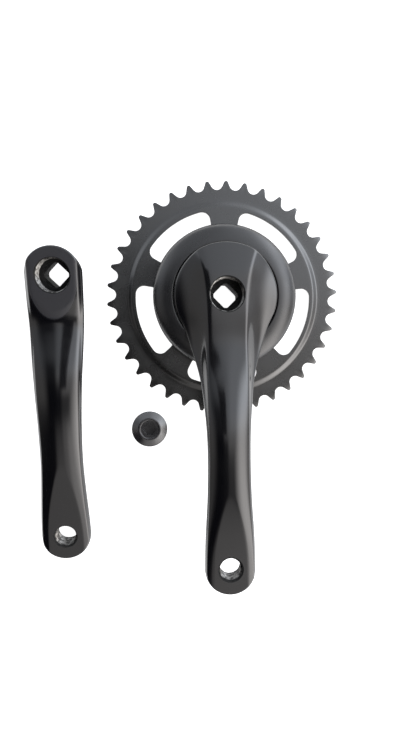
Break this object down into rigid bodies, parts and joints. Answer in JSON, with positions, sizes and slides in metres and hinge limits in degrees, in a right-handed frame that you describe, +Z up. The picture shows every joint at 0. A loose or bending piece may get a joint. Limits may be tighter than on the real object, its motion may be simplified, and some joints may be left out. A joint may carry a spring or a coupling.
{
  "type": "bicycle crankset",
  "caption": "Square-taper bicycle crankset laid out as a kit: crank arm with chainring and guard disc, opposite crank arm, and a threaded dust cap.",
  "frame": {"origin": "on the floor under the centre of the bounding box of the whole kit", "axes": "+Z up out of the surface the kit lies on, towards the outboard faces; +Y from the pedal ends towards the spindle ends of the arms; +X from the left arm towards the chainring"},
  "size_m": [0.2068, 0.2668, 0.0472],
  "materials": {
    "arm_black": "forged aluminium, glossy black coat",
    "ring_black": "stamped steel plate, satin black",
    "disc_black": "matte black",
    "rivet_steel": "dark plated steel",
    "cap_black": "glossy black"
  },
  "bodies": {
    "drive_side": {"right_crank_arm": "arm_black", "chainring": "ring_black", "guard_disc": "disc_black", "chainring_rivets": "rivet_steel"},
    "left_arm": {"left_crank_arm": "arm_black"},
    "cap": {"dust_cap": "cap_black"}
  },
  "joints": [
    {"name": "left_arm_lift", "type": "slide", "parent": "drive_side", "child": "left_arm", "axis": [0, 0, 1], "range_m": [0, 0.08]},
    {"name": "dust_cap_lift", "type": "slide", "parent": "drive_side", "child": "cap", "axis": [0, 0, 1], "range_m": [0, 0.05]}
  ]
}
